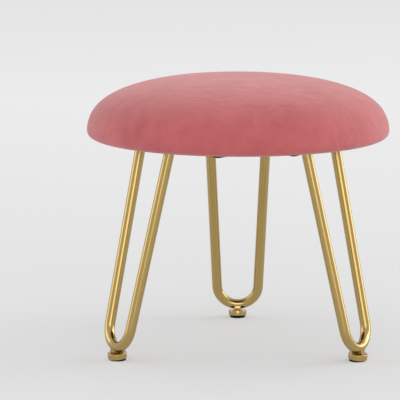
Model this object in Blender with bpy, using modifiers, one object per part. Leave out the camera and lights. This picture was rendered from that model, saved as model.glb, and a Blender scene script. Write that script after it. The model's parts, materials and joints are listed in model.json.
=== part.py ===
"""Round footstool: a domed velvet seat on three hairpin legs with levelling feet.

Metres, +Z up. The origin is on the floor under the middle of the seat, and +Y points to the rear leg.
"""

import math

import bmesh
import bpy
from mathutils import Matrix, Vector

# Seat
SEAT_DIAMETER = 0.380
SEAT_UNDERSIDE_HEIGHT = 0.2683
SEAT_THICKNESS = 0.0773
WIDEST_LINE_HEIGHT = 0.0094
ROLLED_EDGE_WIDTH = 0.0157
DOME_SIDE_FULLNESS = 0.686
DOME_CROWN_FULLNESS = 0.649
ROLL_SIDE_FULLNESS = 0.81
ROLL_UNDER_FULLNESS = 0.45
VELVET_THICKNESS = 0.0015
HEM_WIDTH = 0.020
BOARD_THICKNESS = 0.015
BOARD_PAST_FLAT = 0.0045
BOARD_EDGE_ROUND = 0.004
DUST_COVER_THICKNESS = 0.0008
DUST_COVER_LAP = 0.012
DUST_COVER_STEP = 0.004

# Legs
LEG_AZIMUTHS = {"left": 210, "right": 330, "rear": 90}
ROD_DIAMETER = 0.013
BEND_RADIUS = 0.0275
ROD_SPLAY = 2.49
LEG_LEAN = 12.73
FOOT_SETBACK = 0.0165
PLATE_LENGTH = 0.100
PLATE_DEPTH = 0.044
PLATE_THICKNESS = 0.004
PLATE_CORNER_RADIUS = 0.006
PLATE_LIP = 0.012

# Screws and tee nuts
SCREW_DIAMETER = 0.006
SCREW_HEAD_DIAMETER = 0.0105
SCREW_HEAD_HEIGHT = 0.0033
SCREW_HEAD_RIM = 0.0008
SCREW_HEAD_FLAT = 0.006
SCREW_TIP_BELOW_BOARD_TOP = 0.0008
SCREW_TIP_CHAMFER = 0.0008
SOCKET_ACROSS_FLATS = 0.004
SOCKET_DEPTH = 0.0021
SCREW_EDGE_DISTANCE = 0.010
MIDDLE_SCREW_SPACING = 0.036
TEE_NUT_FLANGE_DIAMETER = 0.017
TEE_NUT_FLANGE_THICKNESS = 0.0012
TEE_NUT_LENGTH = 0.010
TEE_NUT_WALL = 0.0011

# Levelling feet, whose axes lean outwards
FOOT_TILT = 6.0
PAD_DIAMETER = 0.0205
PAD_THICKNESS = 0.002
PAD_EDGE = 0.0005
PAD_BOSS_DIAMETER = 0.008
PAD_BOSS_HEIGHT = 0.0024
DISC_DIAMETER = 0.0238
DISC_THICKNESS = 0.0074
DISC_EDGE = 0.0008
COLLAR_HEIGHT = 0.0004
COLLAR_SADDLE_RISE = 0.0043
COLLAR_LIP = 0.0006
COLLAR_WALL = 0.0009
COLLAR_CORNER_RADIUS = 0.0008
STUD_DIAMETER = 0.006
STUD_REACH = 0.009
STUD_TIP_CHAMFER = 0.0008
SPIGOT_DIAMETER = 0.005
SPIGOT_LENGTH = 0.0022

# Clearances and fineness
GAP = 0.0003
STUD_HOLE_SPARE = 0.0009
CUT_PAST = 0.002
MERGE_DISTANCE = 0.00001
SEAT_SEGMENTS = 40
FOOT_SEGMENTS = 24
SCREW_SEGMENTS = 12
HEXAGON_SIDES = 6
DOME_POINTS = 11
ROLL_POINTS = 5
EDGE_POINTS = 3
CORNER_POINTS = 5
BEND_POINTS = 12
ROD_BEVEL_RESOLUTION = 6
SMOOTH_ANGLE = math.radians(35)

# Heights along a foot's own axis, from where it meets the floor
disc_base = PAD_THICKNESS + GAP
disc_top = disc_base + DISC_THICKNESS
collar_base = disc_top + GAP
rod_underside = collar_base + COLLAR_HEIGHT + GAP
rod_middle = rod_underside + ROD_DIAMETER / 2
collar_top = rod_underside + COLLAR_SADDLE_RISE
stud_top = rod_underside + STUD_REACH

# Heights, from the floor up
tilt = math.radians(FOOT_TILT)
bend_height = rod_middle * math.cos(tilt)
board_base = SEAT_UNDERSIDE_HEIGHT + VELVET_THICKNESS + GAP
board_top = board_base + BOARD_THICKNESS
plate_top = board_base - GAP - DUST_COVER_THICKNESS - GAP
plate_base = plate_top - PLATE_THICKNESS
seat_top = SEAT_UNDERSIDE_HEIGHT + SEAT_THICKNESS
widest_height = SEAT_UNDERSIDE_HEIGHT + WIDEST_LINE_HEIGHT

# Radii and places, in a leg's own frame with +X outwards
seat_radius = SEAT_DIAMETER / 2
flat_radius = seat_radius - ROLLED_EDGE_WIDTH
board_radius = flat_radius + BOARD_PAST_FLAT
hem_radius = flat_radius - HEM_WIDTH
foot_radius = seat_radius - FOOT_SETBACK
foot_base_radius = foot_radius - rod_middle * math.sin(tilt)
lean = math.radians(LEG_LEAN)
splay = math.radians(ROD_SPLAY)
rod_end_height = plate_base - GAP
rod_end_radius = foot_radius - (rod_end_height - bend_height) * math.tan(lean)
plate_outer = rod_end_radius + PLATE_LIP
plate_inner = plate_outer - PLATE_DEPTH
stud_hole_diameter = STUD_DIAMETER + 2 * GAP
saddle_half_width = math.sqrt((ROD_DIAMETER / 2 + GAP) ** 2 - (rod_middle - collar_top) ** 2)
collar_depth = 2 * (saddle_half_width + COLLAR_LIP)
collar_width = stud_hole_diameter + 2 * COLLAR_WALL
screw_hole_diameter = SCREW_DIAMETER + 2 * GAP
tee_nut_barrel_diameter = screw_hole_diameter + 2 * TEE_NUT_WALL
screw_places = [
    (rod_end_radius, -MIDDLE_SCREW_SPACING / 2),
    (rod_end_radius, MIDDLE_SCREW_SPACING / 2),
    (plate_inner + SCREW_EDGE_DISTANCE, SCREW_EDGE_DISTANCE - PLATE_LENGTH / 2),
    (plate_inner + SCREW_EDGE_DISTANCE, PLATE_LENGTH / 2 - SCREW_EDGE_DISTANCE),
]


# Scene and helpers


def clear_scene():
    for obj in list(bpy.data.objects):
        bpy.data.objects.remove(obj, do_unlink=True)


def new_collection(name):
    collection = bpy.data.collections.new(name)
    bpy.context.scene.collection.children.link(collection)
    return collection


clear_scene()
parts = new_collection("round_footstool")
cutters = new_collection("cutters")


def material(name, colour, roughness, metallic=0.0):
    """Plain material with a linear colour."""
    made = bpy.data.materials.new(name)
    made.use_nodes = True
    shader = made.node_tree.nodes["Principled BSDF"]
    shader.inputs["Base Color"].default_value = (*colour, 1)
    shader.inputs["Roughness"].default_value = roughness
    shader.inputs["Metallic"].default_value = metallic
    return made


VELVET = material("pink_velvet", (0.52, 0.14, 0.14), 0.9)
FOAM = material("cream_foam", (0.80, 0.72, 0.52), 0.95)
PLYWOOD = material("birch_plywood", (0.60, 0.42, 0.24), 0.7)
NON_WOVEN = material("black_non_woven", (0.02, 0.02, 0.02), 0.95)
GOLD = material("brushed_gold", (0.62, 0.42, 0.16), 0.32, 1.0)
BLACK_RUBBER = material("black_rubber", (0.015, 0.015, 0.015), 0.6)
ZINC = material("zinc_plated_steel", (0.55, 0.56, 0.58), 0.35, 1.0)


def evaluated_mesh(obj):
    """The object's mesh with its modifiers or bevel made real, and loose caps welded on."""
    bpy.context.view_layer.update()
    graph = bpy.context.evaluated_depsgraph_get()
    mesh = bpy.data.meshes.new_from_object(obj.evaluated_get(graph))
    editable = bmesh.new()
    editable.from_mesh(mesh)
    bmesh.ops.remove_doubles(editable, verts=editable.verts, dist=MERGE_DISTANCE)
    editable.to_mesh(mesh)
    editable.free()
    return mesh


def finished_mesh(obj):
    """The mesh of a helper object, which is removed."""
    mesh = evaluated_mesh(obj)
    mesh.name = obj.name
    mesh.shade_smooth()
    mesh.set_sharp_from_angle(angle=SMOOTH_ANGLE)
    bpy.data.objects.remove(obj, do_unlink=True)
    return mesh


def place(name, mesh, finish, location=(0, 0, 0), parent=None):
    """One named piece of the stool."""
    obj = bpy.data.objects.new(name, mesh)
    if not mesh.materials:
        mesh.materials.append(finish)
    obj.location = location
    obj.parent = parent
    parts.objects.link(obj)
    return obj


def helper(name, data):
    obj = bpy.data.objects.new(name, data)
    cutters.objects.link(obj)
    obj.hide_render = True
    obj.display_type = "WIRE"
    return obj


def turned(name, profile, segments, ring=False):
    """Helper turned from (radius, height) points that run down its outer side."""
    mesh = bpy.data.meshes.new(name)
    edges = [(i, i + 1) for i in range(len(profile) - 1)]
    if ring:
        edges.append((len(profile) - 1, 0))
    mesh.from_pydata([(radius, 0, height) for radius, height in profile], edges, [])
    obj = helper(name, mesh)
    screw = obj.modifiers.new("Turn", "SCREW")
    screw.steps = segments
    screw.render_steps = segments
    screw.use_merge_vertices = True
    screw.merge_threshold = MERGE_DISTANCE
    return obj


def cylinder(name, diameter, low, high, segments):
    """Closed upright cylinder between two heights."""
    mesh = bpy.data.meshes.new(name)
    editable = bmesh.new()
    bmesh.ops.create_cone(
        editable,
        cap_ends=True,
        segments=segments,
        radius1=diameter / 2,
        radius2=diameter / 2,
        depth=high - low,
        matrix=Matrix.Translation((0, 0, (low + high) / 2)),
    )
    editable.to_mesh(mesh)
    editable.free()
    return helper(name, mesh)


def copies(name, mesh, places):
    """One cutter that holds a copy of the mesh at each place."""
    editable = bmesh.new()
    for at in places:
        moved = mesh.copy()
        moved.transform(Matrix.Translation(at))
        editable.from_mesh(moved)
        bpy.data.meshes.remove(moved)
    joined = bpy.data.meshes.new(name)
    editable.to_mesh(joined)
    editable.free()
    return helper(name, joined)


def cut(obj, cutter):
    boolean = obj.modifiers.new(cutter.name, "BOOLEAN")
    boolean.operation = "DIFFERENCE"
    boolean.object = cutter


def curve(name, dimensions):
    data = bpy.data.curves.new(name, "CURVE")
    data.dimensions = dimensions
    return data


def add_line(data, points, closed=False):
    """Straight-sided spline through the points."""
    spline = data.splines.new("POLY")
    spline.points.add(len(points) - 1)
    for corner, point in zip(spline.points, points):
        corner.co = (*point, 1)
    spline.use_cyclic_u = closed


def solid_curve(name, data):
    """Helper with the curve's solid form as a mesh, which can be cut."""
    path = helper("path", data)
    solid = helper(name, evaluated_mesh(path))
    bpy.data.objects.remove(path, do_unlink=True)
    return solid


def bezier(start, start_handle, end_handle, end, count):
    """Points along a cubic curve, both ends included."""
    weights = [i / (count - 1) for i in range(count)]
    corners = [Vector(point) for point in (start, start_handle, end_handle, end)]
    return [
        corners[0] * (1 - t) ** 3
        + corners[1] * 3 * (1 - t) ** 2 * t
        + corners[2] * 3 * (1 - t) * t**2
        + corners[3] * t**3
        for t in weights
    ]


def rounded_corner(centre, radius, start_angle, end_angle, count=EDGE_POINTS):
    """Points on an arc, with angles in degrees."""
    angles = [start_angle + (end_angle - start_angle) * i / (count - 1) for i in range(count)]
    return [
        (
            centre[0] + radius * math.cos(math.radians(angle)),
            centre[1] + radius * math.sin(math.radians(angle)),
        )
        for angle in angles
    ]


def inset(points, distance):
    """The open line of points, moved inwards, to the right of its run from the crown to the hem."""
    moved = []
    for i, point in enumerate(points):
        run = points[min(i + 1, len(points) - 1)] - points[max(i - 1, 0)]
        across = Vector((run.y, -run.x)).normalized()
        moved.append(point + across * distance)
    moved[0].x = 0
    return moved


# Seat


def seat_outline():
    """The seat's outer side in section, from the crown down and in to the flat underside."""
    dome_rise = seat_top - widest_height
    dome = bezier(
        (0, seat_top),
        (seat_radius * DOME_CROWN_FULLNESS, seat_top),
        (seat_radius, widest_height + dome_rise * DOME_SIDE_FULLNESS),
        (seat_radius, widest_height),
        DOME_POINTS,
    )
    roll = bezier(
        (seat_radius, widest_height),
        (seat_radius, widest_height - WIDEST_LINE_HEIGHT * ROLL_SIDE_FULLNESS),
        (flat_radius + ROLLED_EDGE_WIDTH * ROLL_UNDER_FULLNESS, SEAT_UNDERSIDE_HEIGHT),
        (flat_radius, SEAT_UNDERSIDE_HEIGHT),
        ROLL_POINTS,
    )
    return dome + roll[1:]


def velvet_cover():
    """Velvet stretched over the dome, rolled round the edge and turned in under the board."""
    outer = seat_outline()
    outer.append(Vector((hem_radius, SEAT_UNDERSIDE_HEIGHT)))
    inner = inset(outer, VELVET_THICKNESS)
    shell = turned("velvet_cover", outer + inner[::-1], SEAT_SEGMENTS)
    place("velvet_cover", finished_mesh(shell), VELVET)


def foam_pad():
    """Domed foam that sits on the board and wraps over its edge."""
    wall_radius = board_radius + GAP
    floor_height = board_top + GAP
    outer = inset(seat_outline(), VELVET_THICKNESS + GAP)
    lip = next(i for i, point in enumerate(outer) if i >= DOME_POINTS and point.x < wall_radius)
    before, after = outer[lip - 1], outer[lip]
    share = (before.x - wall_radius) / (before.x - after.x)
    profile = outer[:lip] + [before.lerp(after, share)]
    profile += [(wall_radius, floor_height), (0, floor_height)]
    pad = turned("foam_pad", profile, SEAT_SEGMENTS)
    place("foam_pad", finished_mesh(pad), FOAM)


def leg_matrix(azimuth):
    return Matrix.Rotation(math.radians(azimuth), 4, "Z")


def all_screw_places():
    """Where the screws of all three legs stand, on the floor plan."""
    return [
        leg_matrix(azimuth) @ Vector((*spot, 0))
        for azimuth in LEG_AZIMUTHS.values()
        for spot in screw_places
    ]


def seat_board():
    """Plywood disc with rounded edges, holes for the tee nuts and a pocket for each flange."""
    round_radius = board_radius - BOARD_EDGE_ROUND
    profile = [(0, board_top)]
    profile += rounded_corner((round_radius, board_top - BOARD_EDGE_ROUND), BOARD_EDGE_ROUND, 90, 0)
    profile += rounded_corner((round_radius, board_base + BOARD_EDGE_ROUND), BOARD_EDGE_ROUND, 0, -90)
    profile.append((0, board_base))
    board = turned("seat_board", profile, SEAT_SEGMENTS)
    flange_radius = TEE_NUT_FLANGE_DIAMETER / 2 + GAP
    hole_radius = tee_nut_barrel_diameter / 2 + GAP
    pocket_base = board_top - TEE_NUT_FLANGE_THICKNESS - GAP
    pocket = turned(
        "tee_nut_pocket",
        [
            (0, board_top + CUT_PAST),
            (flange_radius, board_top + CUT_PAST),
            (flange_radius, pocket_base),
            (hole_radius, pocket_base),
            (hole_radius, board_base - CUT_PAST),
            (0, board_base - CUT_PAST),
        ],
        SCREW_SEGMENTS,
    )
    cut(board, copies("tee_nut_pockets", finished_mesh(pocket), all_screw_places()))
    place("seat_board", finished_mesh(board), PLYWOOD)


def dust_cover():
    """Thin sheet under the board that steps down over the velvet's hem, with holes for the screws."""
    sheet_radius = hem_radius + DUST_COVER_LAP
    middle_top = board_base - GAP
    rim_top = SEAT_UNDERSIDE_HEIGHT - GAP
    step_outer = hem_radius - GAP
    step_inner = step_outer - DUST_COVER_STEP
    profile = [
        (0, middle_top),
        (step_inner, middle_top),
        (step_outer, rim_top),
        (sheet_radius, rim_top),
        (sheet_radius, rim_top - DUST_COVER_THICKNESS),
        (step_outer - DUST_COVER_THICKNESS, rim_top - DUST_COVER_THICKNESS),
        (step_inner - DUST_COVER_THICKNESS, middle_top - DUST_COVER_THICKNESS),
        (0, middle_top - DUST_COVER_THICKNESS),
    ]
    sheet = turned("dust_cover", profile, SEAT_SEGMENTS)
    hole_low = rim_top - DUST_COVER_THICKNESS - CUT_PAST
    hole_high = board_base + CUT_PAST
    hole = cylinder("screw_hole", screw_hole_diameter, hole_low, hole_high, SCREW_SEGMENTS)
    cut(sheet, copies("dust_cover_holes", finished_mesh(hole), all_screw_places()))
    place("dust_cover", finished_mesh(sheet), NON_WOVEN)


# Legs


def foot_matrix():
    """From a foot's own frame, upright from the floor, to the leg's frame."""
    return Matrix.Translation((foot_base_radius, 0, 0)) @ Matrix.Rotation(tilt, 4, "Y")


def bent_rod(name, diameter):
    """Helper for the hairpin's round rod: bent once, leaning in as it rises, longer than the leg."""
    foot = Vector((foot_radius, 0, bend_height))
    up_the_leg = Vector((-math.sin(lean), 0, math.cos(lean)))
    along_the_bend = Vector((0, 1, 0))
    half_bend = math.pi / 2 - splay
    bend = []
    for i in range(BEND_POINTS + 1):
        angle = half_bend * (2 * i / BEND_POINTS - 1)
        across = BEND_RADIUS * math.sin(angle)
        rise = BEND_RADIUS * (1 - math.cos(angle))
        bend.append(foot + along_the_bend * across + up_the_leg * rise)
    leg_length = (rod_end_height + ROD_DIAMETER - bend_height) / math.cos(lean)
    straight = (leg_length - BEND_RADIUS) / math.cos(splay)
    to_side = along_the_bend * math.sin(splay)
    to_top = up_the_leg * math.cos(splay)
    start = bend[0] + (to_top - to_side) * straight
    end = bend[-1] + (to_top + to_side) * straight
    data = curve("hairpin_path", "3D")
    add_line(data, [start] + bend + [end])
    data.bevel_depth = diameter / 2
    data.bevel_resolution = ROD_BEVEL_RESOLUTION
    data.use_fill_caps = True
    return solid_curve(name, data)


def hairpin_mesh():
    """The bent rod, cut level at the plate and bored for the foot's stud."""
    rod = bent_rod("hairpin", ROD_DIAMETER)
    trim_height = 2 * ROD_DIAMETER
    trim = cylinder("rod_trim", SEAT_DIAMETER, rod_end_height, rod_end_height + trim_height, SCREW_SEGMENTS)
    trim.location.x = rod_end_radius
    hole_top = stud_top + STUD_HOLE_SPARE
    hole = cylinder("stud_hole", stud_hole_diameter, collar_base, hole_top, SCREW_SEGMENTS)
    hole.matrix_world = foot_matrix()
    cut(rod, trim)
    cut(rod, hole)
    return finished_mesh(rod)


def circle_points(centre, diameter, count):
    """Corners of a round hole on the floor plan."""
    return [
        (
            centre[0] + diameter / 2 * math.cos(2 * math.pi * i / count),
            centre[1] + diameter / 2 * math.sin(2 * math.pi * i / count),
            0,
        )
        for i in range(count)
    ]


def rounded_rectangle(inner, outer, length, radius, count):
    """Corners of a rectangle on the floor plan with rounded corners, centred on the leg."""
    near = inner + radius
    far = outer - radius
    half_length = length / 2 - radius
    corners = [(far, half_length), (near, half_length), (near, -half_length), (far, -half_length)]
    outline = []
    for number, corner in enumerate(corners):
        turn = number * 90
        arc = rounded_corner(corner, radius, turn, turn + 90, count)
        outline += [(*point, 0) for point in arc]
    return outline


def plate_mesh():
    """Flat plate with rounded corners and four screw holes, lying level."""
    outline = rounded_rectangle(plate_inner, plate_outer, PLATE_LENGTH, PLATE_CORNER_RADIUS, CORNER_POINTS)
    data = curve("leg_plate", "2D")
    add_line(data, outline, closed=True)
    for spot in screw_places:
        add_line(data, circle_points(spot, screw_hole_diameter, SCREW_SEGMENTS), closed=True)
    data.fill_mode = "BOTH"
    data.extrude = PLATE_THICKNESS / 2
    return finished_mesh(helper("leg_plate", data))


def screw_mesh():
    """Button-head screw, head down, with its seat at height 0 and a hexagon socket."""
    head_radius = SCREW_HEAD_DIAMETER / 2
    shank_radius = SCREW_DIAMETER / 2
    tip = board_top - SCREW_TIP_BELOW_BOARD_TOP - rod_end_height
    crown_height = SCREW_HEAD_HEIGHT - SCREW_HEAD_RIM
    crown_width = head_radius - SCREW_HEAD_FLAT / 2
    crown = bezier(
        (head_radius, -SCREW_HEAD_RIM),
        (head_radius, -SCREW_HEAD_RIM - crown_height / 2),
        (head_radius - crown_width / 2, -SCREW_HEAD_HEIGHT),
        (head_radius - crown_width, -SCREW_HEAD_HEIGHT),
        EDGE_POINTS,
    )
    profile = [
        (0, tip),
        (shank_radius - SCREW_TIP_CHAMFER, tip),
        (shank_radius, tip - SCREW_TIP_CHAMFER),
        (shank_radius, 0),
        (head_radius, 0),
        *crown,
        (0, -SCREW_HEAD_HEIGHT),
    ]
    screw = turned("plate_screw", profile, SCREW_SEGMENTS)
    socket = cylinder(
        "hexagon_socket",
        SOCKET_ACROSS_FLATS / math.cos(math.pi / HEXAGON_SIDES),
        -SCREW_HEAD_HEIGHT - CUT_PAST,
        SOCKET_DEPTH - SCREW_HEAD_HEIGHT,
        HEXAGON_SIDES,
    )
    cut(screw, socket)
    return finished_mesh(screw)


def tee_nut_mesh():
    """Flanged barrel nut, with the flange's top at height 0."""
    bore_radius = screw_hole_diameter / 2
    barrel_radius = tee_nut_barrel_diameter / 2
    flange_radius = TEE_NUT_FLANGE_DIAMETER / 2
    profile = [
        (bore_radius, 0),
        (flange_radius, 0),
        (flange_radius, -TEE_NUT_FLANGE_THICKNESS),
        (barrel_radius, -TEE_NUT_FLANGE_THICKNESS),
        (barrel_radius, -TEE_NUT_LENGTH),
        (bore_radius, -TEE_NUT_LENGTH),
    ]
    return finished_mesh(turned("tee_nut", profile, SCREW_SEGMENTS, ring=True))


# Levelling feet, each turned about its own axis, with heights from where the axis meets the floor


def collar_mesh():
    """Saddle block across the rod, coped on top to fit the underside of the bend and bored for the stud."""
    half_depth = collar_depth / 2
    outline = rounded_rectangle(-half_depth, half_depth, collar_width, COLLAR_CORNER_RADIUS, EDGE_POINTS)
    data = curve("foot_collar", "2D")
    add_line(data, outline, closed=True)
    data.fill_mode = "BOTH"
    data.extrude = (collar_top - collar_base) / 2
    collar = solid_curve("foot_collar", data)
    collar.data.transform(Matrix.Translation((0, 0, (collar_base + collar_top) / 2)))
    collar.matrix_world = foot_matrix()
    bore = cylinder(
        "collar_bore", stud_hole_diameter, collar_base - CUT_PAST, collar_top + CUT_PAST, SCREW_SEGMENTS
    )
    bore.matrix_world = foot_matrix()
    cut(collar, bent_rod("collar_saddle", ROD_DIAMETER + 2 * GAP))
    cut(collar, bore)
    return finished_mesh(collar)


def pad_mesh():
    """Round glide with a boss that the disc turns on, cut level where it stands on the floor."""
    radius = PAD_DIAMETER / 2
    boss_radius = PAD_BOSS_DIAMETER / 2
    boss_top = PAD_THICKNESS + PAD_BOSS_HEIGHT
    below = -radius * math.tan(tilt) - CUT_PAST
    profile = [(0, boss_top), (boss_radius, boss_top), (boss_radius, PAD_THICKNESS)]
    profile += rounded_corner((radius - PAD_EDGE, PAD_THICKNESS - PAD_EDGE), PAD_EDGE, 90, 0)
    profile += [(radius, below), (0, below)]
    pad = turned("foot_pad", profile, FOOT_SEGMENTS)
    floor = cylinder("floor", 2 * PAD_DIAMETER, 2 * below - CUT_PAST, 0, FOOT_SEGMENTS)
    floor.rotation_euler.y = -tilt
    cut(pad, floor)
    return finished_mesh(pad)


def disc_mesh():
    """Turned disc with rounded edges, a hole on top for the stud and one below for the pad's boss."""
    radius = DISC_DIAMETER / 2
    spigot_radius = SPIGOT_DIAMETER / 2 + GAP
    boss_radius = PAD_BOSS_DIAMETER / 2 + GAP
    spigot_floor = collar_base - SPIGOT_LENGTH - GAP
    boss_ceiling = PAD_THICKNESS + PAD_BOSS_HEIGHT + GAP
    profile = [(0, spigot_floor), (spigot_radius, spigot_floor), (spigot_radius, disc_top)]
    profile += rounded_corner((radius - DISC_EDGE, disc_top - DISC_EDGE), DISC_EDGE, 90, 0)
    profile += rounded_corner((radius - DISC_EDGE, disc_base + DISC_EDGE), DISC_EDGE, 0, -90)
    profile += [(boss_radius, disc_base), (boss_radius, boss_ceiling), (0, boss_ceiling)]
    return finished_mesh(turned("foot_disc", profile, FOOT_SEGMENTS))


def stud_mesh():
    """Stud with a shank up through the collar into the rod and a spigot in the disc."""
    shank_radius = STUD_DIAMETER / 2
    profile = [
        (0, stud_top),
        (shank_radius - STUD_TIP_CHAMFER, stud_top),
        (shank_radius, stud_top - STUD_TIP_CHAMFER),
        (shank_radius, collar_base),
        (SPIGOT_DIAMETER / 2, collar_base),
        (SPIGOT_DIAMETER / 2, collar_base - SPIGOT_LENGTH),
        (0, collar_base - SPIGOT_LENGTH),
    ]
    return finished_mesh(turned("foot_stud", profile, SCREW_SEGMENTS))


def legs():
    """Three legs on empties turned to their azimuths, each with its plate, fasteners and canted foot."""
    rod = hairpin_mesh()
    plate = plate_mesh()
    screw = screw_mesh()
    tee_nut = tee_nut_mesh()
    foot_pieces = [
        ("foot_collar", collar_mesh(), GOLD),
        ("foot_stud", stud_mesh(), GOLD),
        ("foot_disc", disc_mesh(), GOLD),
        ("foot_pad", pad_mesh(), BLACK_RUBBER),
    ]
    for side, azimuth in LEG_AZIMUTHS.items():
        leg = bpy.data.objects.new(f"leg_{side}", None)
        leg.rotation_euler.z = math.radians(azimuth)
        parts.objects.link(leg)
        place(f"hairpin_{side}", rod, GOLD, parent=leg)
        place(f"leg_plate_{side}", plate, GOLD, (0, 0, plate_base + PLATE_THICKNESS / 2), leg)
        for number, spot in enumerate(screw_places, 1):
            place(f"plate_screw_{side}_{number}", screw, ZINC, (*spot, rod_end_height), leg)
            place(f"tee_nut_{side}_{number}", tee_nut, ZINC, (*spot, board_top), leg)
        foot = bpy.data.objects.new(f"foot_axis_{side}", None)
        foot.location.x = foot_base_radius
        foot.rotation_euler.y = tilt
        foot.parent = leg
        parts.objects.link(foot)
        for name, mesh, finish in foot_pieces:
            place(f"{name}_{side}", mesh, finish, parent=foot)


velvet_cover()
foam_pad()
seat_board()
dust_cover()
legs()
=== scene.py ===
import json
import math
import random

import bmesh
import bpy
from mathutils import Matrix, Vector, noise


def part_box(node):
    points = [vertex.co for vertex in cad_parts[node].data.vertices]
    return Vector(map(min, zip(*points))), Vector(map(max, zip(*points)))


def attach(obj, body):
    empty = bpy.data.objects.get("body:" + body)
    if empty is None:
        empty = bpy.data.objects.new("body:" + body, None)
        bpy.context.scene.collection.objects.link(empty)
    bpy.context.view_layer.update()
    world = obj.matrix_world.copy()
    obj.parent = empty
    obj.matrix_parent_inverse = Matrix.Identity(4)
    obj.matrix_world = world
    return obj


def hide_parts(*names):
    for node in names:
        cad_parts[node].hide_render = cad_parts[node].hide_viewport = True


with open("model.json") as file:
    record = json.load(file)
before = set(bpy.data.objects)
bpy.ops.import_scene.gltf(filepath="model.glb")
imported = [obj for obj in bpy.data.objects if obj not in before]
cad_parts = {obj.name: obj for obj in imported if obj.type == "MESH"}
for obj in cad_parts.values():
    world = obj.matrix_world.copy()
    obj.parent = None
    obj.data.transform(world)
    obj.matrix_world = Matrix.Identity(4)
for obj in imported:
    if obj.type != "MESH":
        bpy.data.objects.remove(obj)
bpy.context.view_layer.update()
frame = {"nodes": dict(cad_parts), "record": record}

# Places and sizes read from the frame, in metres. The rear leg stands on +Y and is the one modelled.
cover_low, cover_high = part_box("velvet_cover")
board_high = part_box("seat_board")[1]
sheet_low, sheet_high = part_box("dust_cover")
plate_low, plate_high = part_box("leg_plate_rear")
screw_low, screw_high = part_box("plate_screw_rear_1")
seat_radius = cover_high.x
seat_top = cover_high.z
seat_underside = cover_low.z
board_radius = board_high.x
rod_end_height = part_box("hairpin_rear")[1].z
# Degrees from the rear leg to each leg
TURNS = {"rear": 0, "left": 120, "right": 240}

# Seat section, as on the solids
WIDEST_LINE_HEIGHT = 0.0094
ROLLED_EDGE_WIDTH = 0.0157
DOME_SIDE_FULLNESS = 0.686
DOME_CROWN_FULLNESS = 0.649
ROLL_SIDE_FULLNESS = 0.81
ROLL_UNDER_FULLNESS = 0.45
HEM_WIDTH = 0.020
widest_height = seat_underside + WIDEST_LINE_HEIGHT
flat_radius = seat_radius - ROLLED_EDGE_WIDTH

# Leg bend, as on the solids
ROD_DIAMETER = 0.013
BEND_RADIUS = 0.0275
ROD_SPLAY = math.radians(2.49)
LEG_LEAN = math.radians(12.73)
rod_radius = ROD_DIAMETER / 2

# Foot heights along its axis from the floor up, as on the solids. The axis is that of the foot's turn.
PAD_TOP = 0.0020
DISC_BASE = 0.0023
DISC_TOP = 0.0097
COLLAR_BASE = 0.0100
COLLAR_TOP = 0.0150
ROD_MIDDLE = 0.0172
STUD_TOP = 0.0197
joints = {joint["name"]: joint for joint in frame["record"]["behaviour"]["joints"]}
foot_turn = joints["rear_foot_turn"]
foot_axis = -Vector(foot_turn["axis"]).normalized()
foot_base = Vector(foot_turn["pos_m"])
foot_base -= foot_axis * (foot_base.z / foot_axis.z)
bend_bottom = foot_base + foot_axis * ROD_MIDDLE

# How closely the pieces are modelled
SMOOTH_ANGLE = math.radians(35)
MERGE_DISTANCE = 0.000002
NEARLY_SQUARE = 0.9
CORNER_STEPS = 8
EDGE_STEPS = 5
HOLE_SIDES = 32

# Plate screws
SCREWS_A_PLATE = 4
SCREW_HOLE_DIAMETER = 0.0066


# Modelling by hand


def clear_selection():
    """Leaves edit mode and deselects everything."""
    if bpy.context.mode != "OBJECT":
        bpy.ops.object.mode_set(mode="OBJECT")
    bpy.ops.object.select_all(action="DESELECT")


def edit(obj):
    """Opens one piece in edit mode, with all of it selected."""
    clear_selection()
    obj.select_set(True)
    bpy.context.view_layer.objects.active = obj
    bpy.ops.object.mode_set(mode="EDIT")
    bpy.ops.mesh.select_all(action="SELECT")


def named(name):
    """The primitive just added, with its place put into its mesh."""
    obj = bpy.context.object
    obj.name = name
    bpy.ops.object.transform_apply(location=True, rotation=True, scale=True)
    return obj


def pick(obj, kind, wanted):
    """Selects the vertices, edges or faces in edit mode whose middle and normal are wanted."""
    bpy.ops.mesh.select_mode(type=kind)
    bpy.ops.mesh.select_all(action="DESELECT")
    mesh = bmesh.from_edit_mesh(obj.data)
    mesh.normal_update()
    for item in {"VERT": mesh.verts, "EDGE": mesh.edges, "FACE": mesh.faces}[kind]:
        corners = [item] if kind == "VERT" else item.verts
        middle = sum((corner.co for corner in corners), Vector()) / len(corners)
        normal = sum((corner.normal for corner in corners), Vector()) if kind == "EDGE" else item.normal
        item.select_set(wanted(middle, normal))
    mesh.select_flush_mode()
    bmesh.update_edit_mesh(obj.data)


def apply_modifier(obj, kind, **settings):
    """Adds a modifier to one piece and applies it."""
    clear_selection()
    obj.select_set(True)
    bpy.context.view_layer.objects.active = obj
    modifier = obj.modifiers.new(kind, kind)
    for name, value in settings.items():
        setattr(modifier, name, value)
    bpy.ops.object.modifier_apply(modifier=modifier.name)


def break_edges(obj, width):
    """Bevels the sharp edges of a piece."""
    apply_modifier(obj, "BEVEL", width=width, segments=2, limit_method="ANGLE", angle_limit=SMOOTH_ANGLE)


def cut_away(obj, cutter):
    """Cuts one piece by another, which is then thrown away."""
    apply_modifier(obj, "BOOLEAN", operation="DIFFERENCE", object=cutter)
    bpy.data.objects.remove(cutter, do_unlink=True)


def close_up(obj):
    """Merges doubles, turns every face outwards and shades the piece smooth but for its sharp edges."""
    edit(obj)
    bpy.ops.mesh.remove_doubles(threshold=MERGE_DISTANCE)
    bpy.ops.mesh.select_all(action="SELECT")
    bpy.ops.mesh.normals_make_consistent(inside=False)
    bpy.ops.object.mode_set(mode="OBJECT")
    bpy.ops.object.shade_smooth_by_angle(angle=SMOOTH_ANGLE)


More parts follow.
